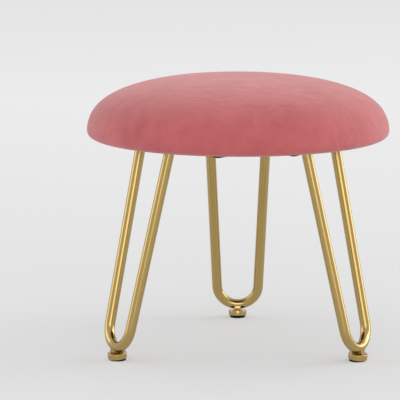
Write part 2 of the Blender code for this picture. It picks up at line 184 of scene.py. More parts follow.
def turned_piece(name, rings, sides):
    """A turned solid: a filled circle, extruded and resized along (radius, height) pairs."""
    radius, height = rings[0]
    clear_selection()
    at = (0, 0, height)
    bpy.ops.mesh.primitive_circle_add(vertices=sides, radius=radius, fill_type="NGON", location=at)
    obj = named(name)
    edit(obj)
    for next_radius, next_height in rings[1:]:
        bpy.ops.mesh.extrude_region_move(TRANSFORM_OT_translate={"value": (0, 0, next_height - height)})
        share = next_radius / radius
        bpy.ops.transform.resize(value=(share, share, 1), center_override=(0, 0, next_height))
        radius, height = next_radius, next_height
    close_up(obj)
    return obj


def rounded_block(name, low, high, corner):
    """A block between two opposite corners, with its four upright edges rounded."""
    clear_selection()
    bpy.ops.mesh.primitive_cube_add(size=1, location=(low + high) / 2)
    bpy.context.object.scale = high - low
    block = named(name)
    edit(block)
    half_way = (low.z + high.z) / 2
    pick(block, "EDGE", lambda middle, normal: abs(middle.z - half_way) < (high.z - low.z) / 4)
    bpy.ops.mesh.bevel(offset=corner, segments=CORNER_STEPS, affect="EDGES")
    bpy.ops.object.mode_set(mode="OBJECT")
    return block


def upright_hole(sides, diameter, depth, middle):
    """Cutter for an upright round hole."""
    clear_selection()
    bpy.ops.mesh.primitive_cylinder_add(vertices=sides, radius=diameter / 2, depth=depth, location=middle)
    return named("hole")


def arc(centre, radius, start, end):
    """(radius, height) pairs round a turned edge, with angles in degrees."""
    angles = [math.radians(start + (end - start) * i / EDGE_STEPS) for i in range(EDGE_STEPS + 1)]
    return [(centre[0] + radius * math.cos(a), centre[1] + radius * math.sin(a)) for a in angles]


def grid_disc(name, sides, radius, height):
    """A round sheet filled with a grid of four-sided faces, left in edit mode with its rim selected."""
    clear_selection()
    bpy.ops.mesh.primitive_circle_add(vertices=sides, radius=radius, location=(0, 0, height))
    obj = named(name)
    edit(obj)
    bpy.ops.mesh.fill_grid(span=sides // 4, offset=0)
    bpy.ops.mesh.select_mode(type="EDGE")
    bpy.ops.mesh.select_all(action="DESELECT")
    bpy.ops.mesh.select_non_manifold()
    return obj


def extrude_rim(rings, radius, height):
    """Extrudes the selected rim along (radius, height) pairs, from the ring that it is on."""
    for next_radius, next_height in rings:
        bpy.ops.mesh.extrude_edges_move(TRANSFORM_OT_translate={"value": (0, 0, next_height - height)})
        share = next_radius / radius
        bpy.ops.transform.resize(value=(share, share, 1), center_override=(0, 0, next_height))
        radius, height = next_radius, next_height


def move_points(obj, moved):
    """Sculpts a piece in code: each point goes where moved() says."""
    for vertex in obj.data.vertices:
        vertex.co = moved(vertex.co.copy())
    obj.data.update()


def stand(obj):
    """Takes a piece modelled upright at the middle of the stool to the rear foot, and cants it as that is."""
    cant = foot_axis.to_track_quat("Z", "Y").to_matrix().to_4x4()
    obj.data.transform(Matrix.Translation(foot_base) @ cant)
    return obj


def copy_turned(obj, name, degrees):
    """A copy with its own mesh, turned about the middle of the stool."""
    made = bpy.data.objects.new(name, obj.data.copy())
    made.data.name = name
    made.data.transform(Matrix.Rotation(math.radians(degrees), 4, "Z"))
    bpy.context.scene.collection.objects.link(made)
    return made


def for_each_leg(piece, stem):
    """The rear leg's piece and its copies on the other legs, by side."""
    piece.name = f"{stem}_rear"
    made = {"rear": piece}
    for side in ("left", "right"):
        made[side] = copy_turned(piece, f"{stem}_{side}", TURNS[side])
    return made


def lay_grain(obj, along):
    """Stores where each point lies across and along the brush lines, for the metal's finish."""
    grain = obj.data.attributes.new("grain", "FLOAT_VECTOR", "POINT")
    for vertex, value in zip(obj.data.vertices, grain.data):
        value.vector = along(vertex.co)


def give(obj, finish):
    """Puts one finish on the whole of a piece."""
    obj.data.materials.clear()
    obj.data.materials.append(finish)


def bezier(corners, t):
    """A point of the curve that four corners guide."""
    a, b, c, d = (Vector(corner) for corner in corners)
    return a * (1 - t) ** 3 + b * 3 * (1 - t) ** 2 * t + c * 3 * (1 - t) * t**2 + d * t**3


# Finishes


def linear(code):
    """Linear colour with alpha, from an sRGB hex value."""
    parts = [int(code[i : i + 2], 16) / 255 for i in (1, 3, 5)]
    light = [p / 12.92 if p <= 0.04045 else ((p + 0.055) / 1.055) ** 2.4 for p in parts]
    return (*light, 1)


def per_size(millimetres):
    """Texture scale at which one feature is that wide."""
    return 1000 / millimetres


def new_finish(name, **shader):
    """A new material with constants on its shader. Its node tree and that shader come with it."""
    made = bpy.data.materials.new(name)
    made.use_nodes = True
    principled = made.node_tree.nodes["Principled BSDF"]
    for socket, value in shader.items():
        principled.inputs[socket.replace("_", " ")].default_value = value
    return made, made.node_tree, principled


def add(tree, kind, settings=None, inputs=None):
    """Adds a node with its settings, and with a constant or a link on each input named or numbered."""
    made = tree.nodes.new("ShaderNode" + kind)
    for name, value in (settings or {}).items():
        setattr(made, name, value)
    for name, value in (inputs or {}).items():
        if isinstance(value, bpy.types.NodeSocket):
            tree.links.new(value, made.inputs[name])
        else:
            made.inputs[name].default_value = value
    return made


def rose_velvet():
    """Cut-pile polyester velvet: deep where the pile is seen end on, dusty and pale where it is seen edge on,
    with cloudy patches where the nap has been stroked one way or the other."""
    made, tree, shader = new_finish(
        "rose_cut_pile_velvet",
        Roughness=0.75,
        Sheen_Weight=0.43,
        Sheen_Roughness=0.5,
        Sheen_Tint=linear("#FFE4E2"),
    )
    shader.inputs["Specular IOR Level"].default_value = 0.4
    place = add(tree, "TexCoord").outputs["Object"]
    clouds = add(
        tree,
        "TexNoise",
        inputs={"Vector": place, "Scale": per_size(70), "Detail": 2, "Roughness": 0.5, "Distortion": 0.6},
    )
    strokes = add(
        tree,
        "TexNoise",
        inputs={"Vector": place, "Scale": per_size(24), "Detail": 2, "Roughness": 0.5, "Distortion": 1.2},
    )
    nap = add(
        tree,
        "Mix",
        {"data_type": "FLOAT"},
        {0: 0.4, 2: clouds.outputs[0], 3: strokes.outputs[0]},
    )
    nap_contrast = add(tree, "MapRange", inputs={0: nap.outputs[0], 1: 0.35, 2: 0.65})
    colour = add(
        tree,
        "Mix",
        {"data_type": "RGBA"},
        {0: nap_contrast.outputs[0], 6: linear("#A94B4E"), 7: linear("#BA5A5C")},
    )
    tree.links.new(colour.outputs[2], shader.inputs["Base Color"])
    # Real pile tufts are about 0.2 mm apart: drawn at 0.7 mm so that they show.
    tufts = add(tree, "TexNoise", inputs={"Vector": place, "Scale": per_size(0.7), "Detail": 2})
    leaning = add(tree, "Bump", inputs={"Strength": 0.4, "Distance": 0.006, "Height": nap.outputs[0]})
    pile = add(tree, "Bump", inputs={"Strength": 0.7, "Distance": 0.0006, "Height": tufts.outputs[0]})
    tree.links.new(leaning.outputs[0], pile.inputs["Normal"])
    tree.links.new(pile.outputs[0], shader.inputs["Normal"])
    return made


def brushed_brass():
    """Brass-plated steel, brushed lengthwise and lacquered: warm gold, with drawn-out highlights."""
    made, tree, shader = new_finish(
        "satin_brushed_brass_plating",
        Metallic=1.0,
        Specular_Tint=linear("#B4A98E"),
        Coat_Weight=1.0,
        Coat_IOR=1.6,
        Coat_Roughness=0.14,
    )
    grain = add(tree, "Attribute", {"attribute_name": "grain"}).outputs["Vector"]
    # Brush lines are about 0.1 mm wide: drawn at 0.45 mm so that they show.
    lines = add(tree, "TexNoise", inputs={"Vector": grain, "Scale": per_size(0.45), "Detail": 2})
    place = add(tree, "TexCoord").outputs["Object"]
    patches = add(tree, "TexNoise", inputs={"Vector": place, "Scale": per_size(30), "Detail": 2})
    colour = add(
        tree,
        "Mix",
        {"data_type": "RGBA"},
        {0: lines.outputs[0], 6: linear("#AC8F47"), 7: linear("#BC9E54")},
    )
    tree.links.new(colour.outputs[2], shader.inputs["Base Color"])
    both = add(tree, "Math", {"operation": "ADD"}, {0: lines.outputs[0], 1: patches.outputs[0]})
    roughness = add(tree, "MapRange", inputs={0: both.outputs[0], 1: 0.6, 2: 1.4, 3: 0.17, 4: 0.25})
    tree.links.new(roughness.outputs[0], shader.inputs["Roughness"])
    bump = add(tree, "Bump", inputs={"Strength": 0.06, "Distance": 0.0001, "Height": lines.outputs[0]})
    tree.links.new(bump.outputs[0], shader.inputs["Normal"])
    return made


def zinc_plate():
    """Bright zinc on steel: cool grey, with faint patches where the plating took unevenly."""
    made, tree, shader = new_finish("bright_zinc_plated_steel", Metallic=1.0)
    place = add(tree, "TexCoord").outputs["Object"]
    patches = add(tree, "TexNoise", inputs={"Vector": place, "Scale": per_size(3), "Detail": 3})
    colour = add(
        tree,
        "Mix",
        {"data_type": "RGBA"},
        {0: patches.outputs[0], 6: linear("#A9ACB0"), 7: linear("#C9CBCC")},
    )
    tree.links.new(colour.outputs[2], shader.inputs["Base Color"])
    roughness = add(tree, "MapRange", inputs={0: patches.outputs[0], 1: 0.3, 2: 0.7, 3: 0.26, 4: 0.42})
    tree.links.new(roughness.outputs[0], shader.inputs["Roughness"])
    return made


def black_rubber():
    """Moulded black rubber: dull, with a fine even grain from the mould and grey scuffs."""
    made, tree, shader = new_finish("moulded_black_rubber")
    shader.inputs["Specular IOR Level"].default_value = 0.1
    place = add(tree, "TexCoord").outputs["Object"]
    scuffs = add(tree, "TexNoise", inputs={"Vector": place, "Scale": per_size(4), "Detail": 5})
    colour = add(
        tree,
        "Mix",
        {"data_type": "RGBA"},
        {0: scuffs.outputs[0], 6: linear("#060606"), 7: linear("#121211")},
    )
    tree.links.new(colour.outputs[2], shader.inputs["Base Color"])
    roughness = add(tree, "MapRange", inputs={0: scuffs.outputs[0], 1: 0.3, 2: 0.7, 3: 0.5, 4: 0.68})
    tree.links.new(roughness.outputs[0], shader.inputs["Roughness"])
    grit = add(tree, "TexNoise", inputs={"Vector": place, "Scale": per_size(0.4), "Detail": 1})
    bump = add(tree, "Bump", inputs={"Strength": 0.2, "Distance": 0.0001, "Height": grit.outputs[0]})
    tree.links.new(bump.outputs[0], shader.inputs["Normal"])
    return made


def black_spunbond():
    """Spunbonded polypropylene: black fibre felt, welded in small dots that catch the light."""
    made, tree, shader = new_finish("black_spunbond_polypropylene", Roughness=0.85)
    shader.inputs["Specular IOR Level"].default_value = 0.3
    place = add(tree, "TexCoord").outputs["Object"]
    # Weld dots are about 1.5 mm apart: drawn 2.4 mm apart so that they show.
    dots = add(tree, "TexVoronoi", inputs={"Vector": place, "Scale": per_size(2.4), "Randomness": 0.0})
    fibres = add(
        tree,
        "TexNoise",
        inputs={"Vector": place, "Scale": per_size(0.8), "Detail": 4, "Distortion": 2},
    )
    colour = add(
        tree,
        "Mix",
        {"data_type": "RGBA"},
        {0: fibres.outputs[0], 6: linear("#151516"), 7: linear("#333335")},
    )
    tree.links.new(colour.outputs[2], shader.inputs["Base Color"])
    dimple = add(tree, "MapRange", inputs={0: dots.outputs["Distance"], 1: 0.12, 2: 0.3})
    height = add(
        tree,
        "Math",
        {"operation": "MULTIPLY_ADD"},
        {0: fibres.outputs[0], 1: 0.4, 2: dimple.outputs[0]},
    )
    bump = add(tree, "Bump", inputs={"Strength": 0.5, "Distance": 0.0003, "Height": height.outputs[0]})
    tree.links.new(bump.outputs[0], shader.inputs["Normal"])
    return made


def cream_foam():
    """Open-cell polyurethane foam: pale cream and full of small round pore hollows, with painted shade
    darkening the middle of each.
    """
    made, tree, shader = new_finish("open_cell_polyurethane_foam", Roughness=0.95)
    place = add(tree, "TexCoord").outputs["Object"]
    pores_and_pore_shade = add(tree, "TexVoronoi", inputs={"Vector": place, "Scale": per_size(1.4)}).outputs["Distance"]
    # The cream darkens toward the middle of each pore: painted shade in the hollows.
    colour = add(
        tree,
        "Mix",
        {"data_type": "RGBA"},
        {0: pores_and_pore_shade, 6: linear("#D9C89A"), 7: linear("#F1E6C6")},
    )
    tree.links.new(colour.outputs[2], shader.inputs["Base Color"])
    bump = add(tree, "Bump", inputs={"Strength": 0.6, "Distance": 0.0005, "Height": pores_and_pore_shade})
    tree.links.new(bump.outputs[0], shader.inputs["Normal"])
    return made


def birch_plywood():
    """Birch plywood: pale faces with long grain, and dark and light veneers in turn round the edge."""
    made, tree, shader = new_finish("birch_plywood", Roughness=0.65)
    place = add(tree, "TexCoord").outputs["Object"]
    stretched = add(tree, "Mapping", inputs={"Vector": place, "Scale": (0.08, 1, 1)})
    grain = add(
        tree,
        "TexNoise",
        inputs={"Vector": stretched.outputs[0], "Scale": per_size(5), "Detail": 5, "Distortion": 0.4},
    )
    # A wave texture turns through 20 radians in each unit of its vector.
    veneers = add(
        tree,
        "TexWave",
        {"bands_direction": "Z"},
        {"Vector": place, "Scale": per_size(3) * math.tau / 20, "Distortion": 0.3},
    )
    face = add(
        tree,
        "Mix",
        {"data_type": "RGBA"},
        {0: grain.outputs[0], 6: linear("#C79E6B"), 7: linear("#E3C79B")},
    )
    colour = add(
        tree,
        "Mix",
        {"data_type": "RGBA", "blend_type": "MULTIPLY"},
        {0: 0.35, 6: face.outputs[2], 7: veneers.outputs["Color"]},
    )
    tree.links.new(colour.outputs[2], shader.inputs["Base Color"])
    bump = add(tree, "Bump", inputs={"Strength": 0.2, "Distance": 0.0002, "Height": grain.outputs[0]})
    tree.links.new(bump.outputs[0], shader.inputs["Normal"])
    return made


VELVET = rose_velvet()
BRASS = brushed_brass()
ZINC = zinc_plate()
RUBBER = black_rubber()
SPUNBOND = black_spunbond()
FOAM = cream_foam()
PLYWOOD = birch_plywood()

# Seat

SEAT_SIDES = 192
CROWN_GRID_RADIUS = 0.120
SIDE_RINGS = 16
ROLL_RINGS = 7
HEM_RINGS = 5
HALVINGS = 40
VELVET_THICKNESS = 0.0012
VELVET_SMOOTH_ANGLE = math.radians(60)
SWELL = 0.0025
SWELL_FRAMES = 20
PILLOW_PRESSURE = 4.0
FOAM_UNEVENNESS = 0.0003
FOAM_LUMP_SIZE = 0.070
PLEATS = 96
PLEAT_DEPTH = 0.0005
PLEAT_LEAST_SHARE = 0.35
PLEAT_SHIFT = 0.25
PLEAT_HALF_WIDTH = 0.22
PLEAT_FADE = 0.008
PLEAT_SEED = 7


def dome_line():
    """Corners of the dome's section, from the crown to the widest line, as radius and height."""
    rise = seat_top - widest_height
    return (
        (0, seat_top),
        (seat_radius * DOME_CROWN_FULLNESS, seat_top),
        (seat_radius, widest_height + rise * DOME_SIDE_FULLNESS),
        (seat_radius, widest_height),
    )


def roll_line():
    """Corners of the rolled edge's section, from the widest line to the flat underside."""
    return (
        (seat_radius, widest_height),
        (seat_radius, widest_height - WIDEST_LINE_HEIGHT * ROLL_SIDE_FULLNESS),
        (flat_radius + ROLLED_EDGE_WIDTH * ROLL_UNDER_FULLNESS, seat_underside),
        (flat_radius, seat_underside),
    )


def dome_share(radius):
    """How far down the dome's line a radius lies, found by halving."""
    low, high = 0.0, 1.0
    for _ in range(HALVINGS):
        middle = (low + high) / 2
        if bezier(dome_line(), middle).x < radius:
            low = middle
        else:
            high = middle
    return low


def inset_point(line, t, distance):
    """A point of the seat's section, moved in square to the line."""
    step = 0.001
    run = bezier(line, min(t + step, 1)) - bezier(line, max(t - step, 0))
    inwards = Vector((run.y, -run.x)).normalized()
    return bezier(line, t) + inwards * distance


def cover_shape():
    """The velvet's outer side: a crown of four-sided faces, and rings round its side, edge and hem."""
    start = dome_share(CROWN_GRID_RADIUS)
    rim = bezier(dome_line(), start)
    cover = grid_disc("velvet_seat_cover", SEAT_SIDES, rim.x, rim.y)
    rings = [bezier(dome_line(), start + (1 - start) * i / SIDE_RINGS) for i in range(1, SIDE_RINGS + 1)]
    rings += [bezier(roll_line(), i / ROLL_RINGS) for i in range(1, ROLL_RINGS + 1)]
    for i in range(1, HEM_RINGS + 1):
        rings.append(Vector((flat_radius - HEM_WIDTH * i / HEM_RINGS, seat_underside)))
    extrude_rim(rings, rim.x, rim.y)
    bpy.ops.object.mode_set(mode="OBJECT")

    def lifted(point):
        radius = point.xy.length
        if radius < rim.x:
            point.z = bezier(dome_line(), dome_share(radius)).y
        return point

    move_points(cover, lifted)
    close_up(cover)
    return cover


def room_to_swell(point):
    """How far the foam pushes the velvet out: most at the crown, and nothing from the widest line down."""
    if point.z <= widest_height:
        return 0
    return SWELL * (1 - dome_share(point.xy.length))


def swell(cover):
    """Takes the cover in, then fills it by cloth simulation, as far as the foam pushes it and no further."""
    outwards = [vertex.normal.copy() for vertex in cover.data.vertices]
    room = [room_to_swell(vertex.co) for vertex in cover.data.vertices]
    for vertex, direction, distance in zip(cover.data.vertices, outwards, room):
        vertex.co -= direction * distance
    taken_in = [vertex.co.copy() for vertex in cover.data.vertices]
    under = [vertex for vertex in cover.data.vertices if vertex.co.z < widest_height]
    stapled = [vertex.index for vertex in under if vertex.co.xy.length < flat_radius]
    cover.vertex_groups.new(name="stapled").add(stapled, 1.0, "REPLACE")
    clear_selection()
    cover.select_set(True)
    bpy.context.view_layer.objects.active = cover
    cloth = cover.modifiers.new("Cloth", "CLOTH")
    cloth.settings.use_pressure = True
    cloth.settings.uniform_pressure_force = PILLOW_PRESSURE
    cloth.settings.effector_weights.gravity = 0
    cloth.settings.vertex_group_mass = "stapled"
    cloth.point_cache.frame_start = 1
    cloth.point_cache.frame_end = SWELL_FRAMES
    for number in range(1, SWELL_FRAMES + 1):
        bpy.context.scene.frame_set(number)
    bpy.ops.object.modifier_apply(modifier=cloth.name)
    bpy.context.scene.frame_set(1)
    for vertex, rest, direction, distance in zip(cover.data.vertices, taken_in, outwards, room):
        lump = noise.noise(rest / FOAM_LUMP_SIZE) * FOAM_UNEVENNESS * distance / SWELL
        travel = (vertex.co - rest).dot(direction)
        vertex.co = rest + direction * min(max(travel, 0), distance + lump)
    cover.vertex_groups.clear()


def gather_hem(cover):
    """Presses the creases of the gathered hem into the underside."""
    draw = random.Random(PLEAT_SEED)
    depths = [draw.uniform(PLEAT_LEAST_SHARE, 1.0) for _ in range(PLEATS)]
    shifts = [draw.uniform(-PLEAT_SHIFT, PLEAT_SHIFT) for _ in range(PLEATS)]

    def creased(point):
        fade = min(max((flat_radius + PLEAT_FADE - point.xy.length) / PLEAT_FADE, 0), 1)
        if fade == 0 or point.z > widest_height:
            return point
        turn = math.atan2(point.y, point.x) / (2 * math.pi) * PLEATS % PLEATS
        number = int(turn) % PLEATS
        crease = max(0, 1 - abs(turn - number - 0.5 - shifts[number]) / PLEAT_HALF_WIDTH)
        point.z += PLEAT_DEPTH * depths[number] * fade * crease * crease * (3 - 2 * crease)
        return point

    move_points(cover, creased)


def velvet_cover():
    """One piece of velvet, swelled by the foam, with a gathered hem and the cloth's own thickness."""
    cover = cover_shape()
    swell(cover)
    apply_modifier(cover, "SUBSURF", levels=1, render_levels=1)
    gather_hem(cover)
    apply_modifier(cover, "SOLIDIFY", thickness=VELVET_THICKNESS, offset=-1)
    bpy.ops.object.shade_smooth_by_angle(angle=VELVET_SMOOTH_ANGLE)
    give(cover, VELVET)
    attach(cover, "stool")
    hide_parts("velvet_cover")


FOAM_SIDES = 96
FOAM_CLEARANCE = 0.0020
FOAM_BOARD_GAP = 0.0003
FOAM_LIP = 0.0002
FOAM_RINGS = 22
FOAM_ROLL_RINGS = 12
FOAM_CROWN_RADIUS = 0.004


def seat_foam():
    """Domed foam that sits on the board and wraps over its edge, under the velvet."""
    wall = board_radius + FOAM_BOARD_GAP
    ceiling = board_high.z + FOAM_BOARD_GAP
    shares = [i / FOAM_ROLL_RINGS for i in range(FOAM_ROLL_RINGS, 0, -1)]
    outline = [inset_point(roll_line(), share, FOAM_CLEARANCE) for share in shares]
    outline = [point for point in outline if point.x > wall + FOAM_LIP]
    last = dome_share(FOAM_CROWN_RADIUS)
    for i in range(FOAM_RINGS + 1):
        outline.append(inset_point(dome_line(), 1 - (1 - last) * i / FOAM_RINGS, FOAM_CLEARANCE))
    rings = [(wall, ceiling), (wall, outline[0].y)] + [tuple(point) for point in outline]
    foam = turned_piece("seat_foam", rings, FOAM_SIDES)
    give(foam, FOAM)
    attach(foam, "stool")
    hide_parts("foam_pad")


STAPLES = 32
FIRST_STAPLE = 256.1
STAPLE_RADIUS = 0.1605
STAPLE_CROWN = 0.0100
STAPLE_WIRE_WIDTH = 0.0011
STAPLE_WIRE_THICKNESS = 0.0006
STAPLE_EDGE = 0.00018
STAPLE_LEG = 0.0060
STAPLE_STRAY = 0.0012
STAPLE_STRAY_TURN = 0.6
STAPLE_ASKEW = 9
STAPLE_SEED = 11
SHEET_SIDES = 160
SHEET_GRID_RADIUS = 0.140
SHEET_FLAT_RADIUS = 0.146
SHEET_RIM_RINGS = 5
SHEET_HOLE_SIDES = 24
SHEET_HOLE_DEPTH = 0.012
SHEET_THICKNESS = 0.0006
SHEET_STEP = (0.1500, 0.1540)
SHEET_SAG = 0.0012
SHEET_SAG_RADIUS = 0.080
PUCKER = 0.0004
# Two spots where the sheet's edge hangs lower between staples and shows as dark slivers below the rim:
# degrees, drop and half width.
LOWERED_EDGE_SPOTS = ((261.7, 0.0019, 2.6), (293.8, 0.0017, 2.2))


def screw_place(name):
    """Where a plate screw stands, seen from above."""
    low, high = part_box(name)
    return ((low + high) / 2).xy


def dust_sheet():
    """Black sheet stapled under the board, over the hem: slack in the middle and puckered at its edge."""
    middle = sheet_high.z - SHEET_THICKNESS / 2
    rim = sheet_low.z + SHEET_THICKNESS / 2
    sheet = grid_disc("dust_sheet", SHEET_SIDES, SHEET_GRID_RADIUS, middle)
    step_in, step_out = SHEET_STEP
    rim_width = sheet_high.x - step_out
    half_down = ((step_in + step_out) / 2, (middle + rim) / 2)
    rings = [(SHEET_FLAT_RADIUS, middle), (step_in, middle), half_down, (step_out, rim)]
    rings += [(step_out + rim_width * i / SHEET_RIM_RINGS, rim) for i in range(1, SHEET_RIM_RINGS + 1)]
    extrude_rim(rings, SHEET_GRID_RADIUS, middle)
    bpy.ops.object.mode_set(mode="OBJECT")
    apply_modifier(sheet, "SUBSURF", levels=1, render_levels=1)

    def hung(point):
        radius = point.xy.length
        turn = math.degrees(math.atan2(point.y, point.x)) % 360
        if radius < SHEET_SAG_RADIUS:
            point.z -= SHEET_SAG * (1 - (radius / SHEET_SAG_RADIUS) ** 2) ** 2
        edge = min(max((radius - step_out) / rim_width, 0), 1)
        between = (turn - FIRST_STAPLE) * STAPLES / 360
        point.z -= PUCKER * edge * math.sin(math.pi * between) ** 2
        for spot, drop, half_width in LOWERED_EDGE_SPOTS:
            point.z -= drop * edge * math.exp(-(((turn - spot) / half_width) ** 2))
        return point

    move_points(sheet, hung)
    apply_modifier(sheet, "SOLIDIFY", thickness=SHEET_THICKNESS, offset=0)
    close_up(sheet)
    for name in sorted(frame["nodes"]):
        if name.startswith("plate_screw"):
            at = (*screw_place(name), middle)
            cut_away(sheet, upright_hole(SHEET_HOLE_SIDES, SCREW_HOLE_DIAMETER, SHEET_HOLE_DEPTH, at))
    give(sheet, SPUNBOND)
    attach(sheet, "stool")
    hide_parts("dust_cover")


def staple():
    """One wire staple with its crown down and its legs up, modelled at the middle of the stool."""
    clear_selection()
    bpy.ops.mesh.primitive_cube_add(size=1, location=(0, 0, 0))
    obj = bpy.context.object
    obj.scale = (STAPLE_WIRE_WIDTH, STAPLE_CROWN - 2 * STAPLE_WIRE_THICKNESS, STAPLE_WIRE_THICKNESS)
    obj = named("staple")
    edit(obj)
    for end in (-1, 1):
        pick(obj, "FACE", lambda middle, normal: normal.y * end > NEARLY_SQUARE)
        outwards = (0, end * STAPLE_WIRE_THICKNESS, 0)
        bpy.ops.mesh.extrude_region_move(TRANSFORM_OT_translate={"value": outwards})
    inside = STAPLE_CROWN / 2 - STAPLE_WIRE_THICKNESS
    pick(obj, "FACE", lambda middle, normal: normal.z > NEARLY_SQUARE and abs(middle.y) > inside)
    bpy.ops.mesh.extrude_region_move(TRANSFORM_OT_translate={"value": (0, 0, STAPLE_LEG)})
    bpy.ops.object.mode_set(mode="OBJECT")
    apply_modifier(obj, "BEVEL", width=STAPLE_EDGE, segments=2)
    close_up(obj)
    return obj


def hem_staples():
    """A ring of staples through the sheet and the hem, each a little askew, as one group."""
    draw = random.Random(STAPLE_SEED)
    first = staple()
    group = bmesh.new()
    height = sheet_low.z - STAPLE_WIRE_THICKNESS / 2
    for number in range(STAPLES):
        stray = draw.uniform(-STAPLE_STRAY_TURN, STAPLE_STRAY_TURN)
        turn = math.radians(FIRST_STAPLE + 360 / STAPLES * number + stray)
        askew = math.radians(draw.uniform(-STAPLE_ASKEW, STAPLE_ASKEW))
        reach = STAPLE_RADIUS + draw.uniform(-STAPLE_STRAY, STAPLE_STRAY)
        at = Vector((reach * math.cos(turn), reach * math.sin(turn), height))
        one = first.data.copy()
        one.transform(Matrix.Translation(at) @ Matrix.Rotation(turn + askew, 4, "Z"))
        group.from_mesh(one)
        bpy.data.meshes.remove(one)
    group.to_mesh(first.data)
    group.free()
    first.name = "hem_staples"
    give(first, ZINC)
    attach(first, "stool")


velvet_cover()
seat_foam()
dust_sheet()
hem_staples()

# Legs

ROD_SIDES = 48
STRAIGHT_STEPS = 8
BEND_STEPS = 40
STUD_HOLE_DIAMETER = 0.0066
STUD_HOLE_SPARE = 0.0009
GRAIN_RUN = 0.012
up_the_leg = Vector((0, -math.sin(LEG_LEAN), math.cos(LEG_LEAN)))
to_the_side = Vector((1, 0, 0))
out_of_the_leg = to_the_side.cross(up_the_leg)
bend_centre = bend_bottom + up_the_leg * BEND_RADIUS
half_bend = math.pi / 2 - ROD_SPLAY


def rod_line(toward):
    """Start and direction of the straight that rises from one end of the bend. Toward is 1 or -1 along X."""
    start = bend_centre + to_the_side * toward * BEND_RADIUS * math.sin(half_bend)
    start -= up_the_leg * BEND_RADIUS * math.cos(half_bend)
    return start, to_the_side * toward * math.sin(ROD_SPLAY) + up_the_leg * math.cos(ROD_SPLAY)


def rod_end(toward):
    """Where the middle of a straight meets the plate."""
    start, rising = rod_line(toward)
    return start + rising * (rod_end_height - start.z) / rising.z


def rod_grain(point):
    """Across the rod in two directions, and along its bent line, which is drawn out."""
    level = point - bend_centre
    across, rise, out = level.dot(to_the_side), level.dot(up_the_leg), level.dot(out_of_the_leg)
    angle = math.atan2(across, -rise)
    if abs(angle) <= half_bend:
        return Vector((math.hypot(across, rise) - BEND_RADIUS, out, angle * BEND_RADIUS * GRAIN_RUN))
    toward = math.copysign(1, angle)
    start, rising = rod_line(toward)
    outwards = to_the_side * toward * math.cos(ROD_SPLAY) - up_the_leg * math.sin(ROD_SPLAY)
    run = (point - start).dot(rising) + half_bend * BEND_RADIUS
    return Vector(((point - start).dot(outwards), out, toward * run * GRAIN_RUN))


def bent_bar(name, radius):
    """A round bar: drawn down one straight, spun round the bend, drawn up the other and cut level."""
    first_start, first_rising = rod_line(-1)
    last_rising = rod_line(1)[1]
    past_the_plate = ROD_DIAMETER
    straight = (rod_end_height + past_the_plate - first_start.z) / first_rising.z
    clear_selection()
    bpy.ops.mesh.primitive_circle_add(
        vertices=ROD_SIDES,
        radius=radius,
        fill_type="NGON",
        location=first_start + first_rising * straight,
        rotation=first_rising.to_track_quat("Z", "Y").to_euler(),
    )
    rod = named(name)
    edit(rod)
    step = straight / STRAIGHT_STEPS
    for _ in range(STRAIGHT_STEPS):
        bpy.ops.mesh.extrude_region_move(TRANSFORM_OT_translate={"value": -first_rising * step})
    bpy.ops.mesh.spin(steps=BEND_STEPS, angle=-2 * half_bend, center=bend_centre, axis=out_of_the_leg)
    for _ in range(STRAIGHT_STEPS):
        bpy.ops.mesh.extrude_region_move(TRANSFORM_OT_translate={"value": last_rising * step})
    bpy.ops.mesh.select_all(action="SELECT")
    level = (0, 0, rod_end_height)
    bpy.ops.mesh.bisect(plane_co=level, plane_no=(0, 0, 1), use_fill=True, clear_outer=True)
    close_up(rod)
    return rod


def stud_hole(low, high):
    """Cutter for the hole that the foot's stud screws up into, between two heights on the foot's axis."""
    return stand(upright_hole(HOLE_SIDES, STUD_HOLE_DIAMETER, high - low, (0, 0, (low + high) / 2)))


def hairpin_rod():
    """The bent bar, bored at its lowest point for the stud and brushed along its length."""
    rod = bent_bar("hairpin_rod", rod_radius)
    cut_away(rod, stud_hole(DISC_TOP, STUD_TOP + STUD_HOLE_SPARE))
    close_up(rod)
    lay_grain(rod, rod_grain)
    give(rod, BRASS)
    return rod


WELD_RADIUS = 0.0021
WELD_STANDOFF = 0.0006
WELD_SIDES = 84
WELD_SECTION_SIDES = 14
WELD_RIPPLES = 14
WELD_RIPPLE_SHARE = 0.10
WELD_UNEVENNESS = 0.8
WELD_SWINGS = 3
WELD_CLEARANCE = 0.00005


def weld_beads():
    """A bead of weld round the top of each rod, rippled where the torch paused, flat against the plate."""
    beads = []
    for toward in (-1, 1):
        end = rod_end(toward)
        rising = rod_line(toward)[1]
        clear_selection()
        bpy.ops.mesh.primitive_torus_add(
            location=end,
            major_radius=rod_radius + WELD_STANDOFF,
            minor_radius=WELD_RADIUS,
            major_segments=WELD_SIDES,
            minor_segments=WELD_SECTION_SIDES,
        )
        bead = named("weld_bead")

        def laid(point):
            """Leans the ring with the rod, ripples it and keeps it off the rod and under the plate."""
            flat = point - end
            turn = math.atan2(flat.y, flat.x)
            swing = WELD_UNEVENNESS * math.sin(WELD_SWINGS * turn)
            ripple = 1 + WELD_RIPPLE_SHARE * math.sin(WELD_RIPPLES * turn + swing)
            radius = max(rod_radius + WELD_CLEARANCE, rod_radius + (flat.xy.length - rod_radius) * ripple)
            height = min(flat.z * ripple, plate_low.z - WELD_CLEARANCE - rod_end_height)
            axis = rising * (height / rising.z)
            lean_stretch = 1 / rising.z
            round_the_rod = Vector((math.cos(turn) * radius, math.sin(turn) * radius * lean_stretch, 0))
            return end + axis + round_the_rod

        move_points(bead, laid)
        beads.append(bead)
    clear_selection()
    for bead in beads:
        bead.select_set(True)
    bpy.context.view_layer.objects.active = beads[0]
    bpy.ops.object.join()
    close_up(beads[0])
    lay_grain(beads[0], lambda point: point)
    give(beads[0], BRASS)
    return beads[0]


PLATE_CORNER = 0.006
PLATE_EDGE = 0.0004


